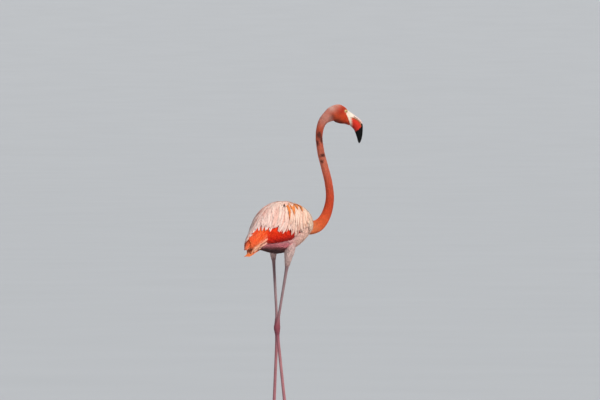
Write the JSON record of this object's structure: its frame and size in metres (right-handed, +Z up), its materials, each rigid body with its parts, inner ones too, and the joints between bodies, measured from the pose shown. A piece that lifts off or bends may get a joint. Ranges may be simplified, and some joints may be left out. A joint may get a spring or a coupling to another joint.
{
  "type": "american flamingo, life-size standing model",
  "caption": "Standing flamingo with an S-shaped neck, its head turned to its right, long bare legs and webbed feet.",
  "frame": {"origin": "middle of the bird's outline seen from above, on the floor its soles stand on", "axes": "+X the way the body faces, +Y to its left, +Z up"},
  "size_m": [0.5314, 0.1674, 1.081],
  "materials": {
    "body_feathers": "soft, overlapping pale pink feathers",
    "wing_feathers": "soft, long pale plumes over orange-red coverts",
    "neck_feathers": "short, dense orange-red feathers",
    "leg_skin": "scaled grey-pink skin, satin",
    "joint_skin": "scaled maroon-pink skin, satin",
    "pale_horn": "ivory to pink horn, satin",
    "dark_horn": "black horn, satin",
    "eye": "pale yellow iris with a black pupil, wet gloss"
  },
  "bodies": {
    "root": {"trunk": "body_feathers", "wing_right": "wing_feathers", "wing_left": "wing_feathers", "tail": "wing_feathers", "neck_lower": "neck_feathers", "neck_middle": "neck_feathers", "neck_upper": "neck_feathers", "head": "neck_feathers", "bill_upper": "pale_horn", "bill_lower": "dark_horn", "eye_right": "eye", "eye_left": "eye", "thigh_right": "body_feathers", "shin_right": "leg_skin", "ankle_right": "joint_skin", "tarsus_right": "leg_skin", "foot_right": "joint_skin", "claw_inner_right": "dark_horn", "claw_middle_right": "dark_horn", "claw_outer_right": "dark_horn", "thigh_left": "body_feathers", "shin_left": "leg_skin", "ankle_left": "joint_skin", "tarsus_left": "leg_skin", "foot_left": "joint_skin", "claw_inner_left": "dark_horn", "claw_middle_left": "dark_horn", "claw_outer_left": "dark_horn"}
  },
  "joints": []
}
